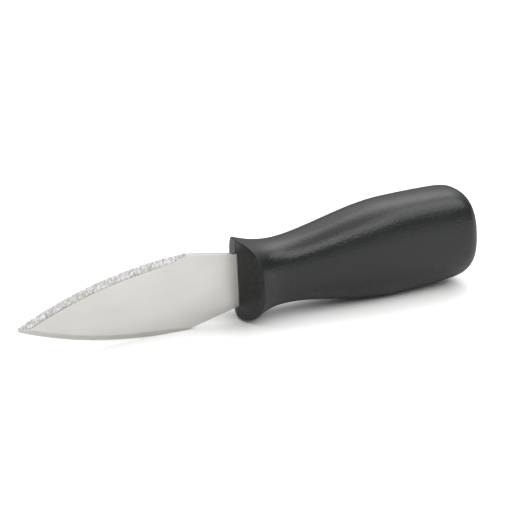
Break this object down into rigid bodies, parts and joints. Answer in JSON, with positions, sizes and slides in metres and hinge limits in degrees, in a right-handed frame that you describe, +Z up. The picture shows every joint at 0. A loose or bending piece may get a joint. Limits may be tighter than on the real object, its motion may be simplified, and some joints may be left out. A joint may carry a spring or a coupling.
{
  "type": "mussel knife",
  "caption": "Short, broad, leaf-shaped steel blade with a ground edge, its tang held in a waisted, round-ended black plastic handle, for opening mussels.",
  "frame": {"origin": "on the table, under the middle of the knife as it stands on its edge", "axes": "+X from the blade's tip to the handle's butt, +Y square to the blade's flats, +Z up from the lower edge"},
  "size_m": [0.161, 0.0248, 0.0334],
  "materials": {
    "steel": "satin stainless steel, with cross-ground bevels",
    "plastic": "finely textured satin black moulded polypropylene"
  },
  "bodies": {
    "root": {"blade": "steel", "handle": "plastic"}
  },
  "joints": []
}
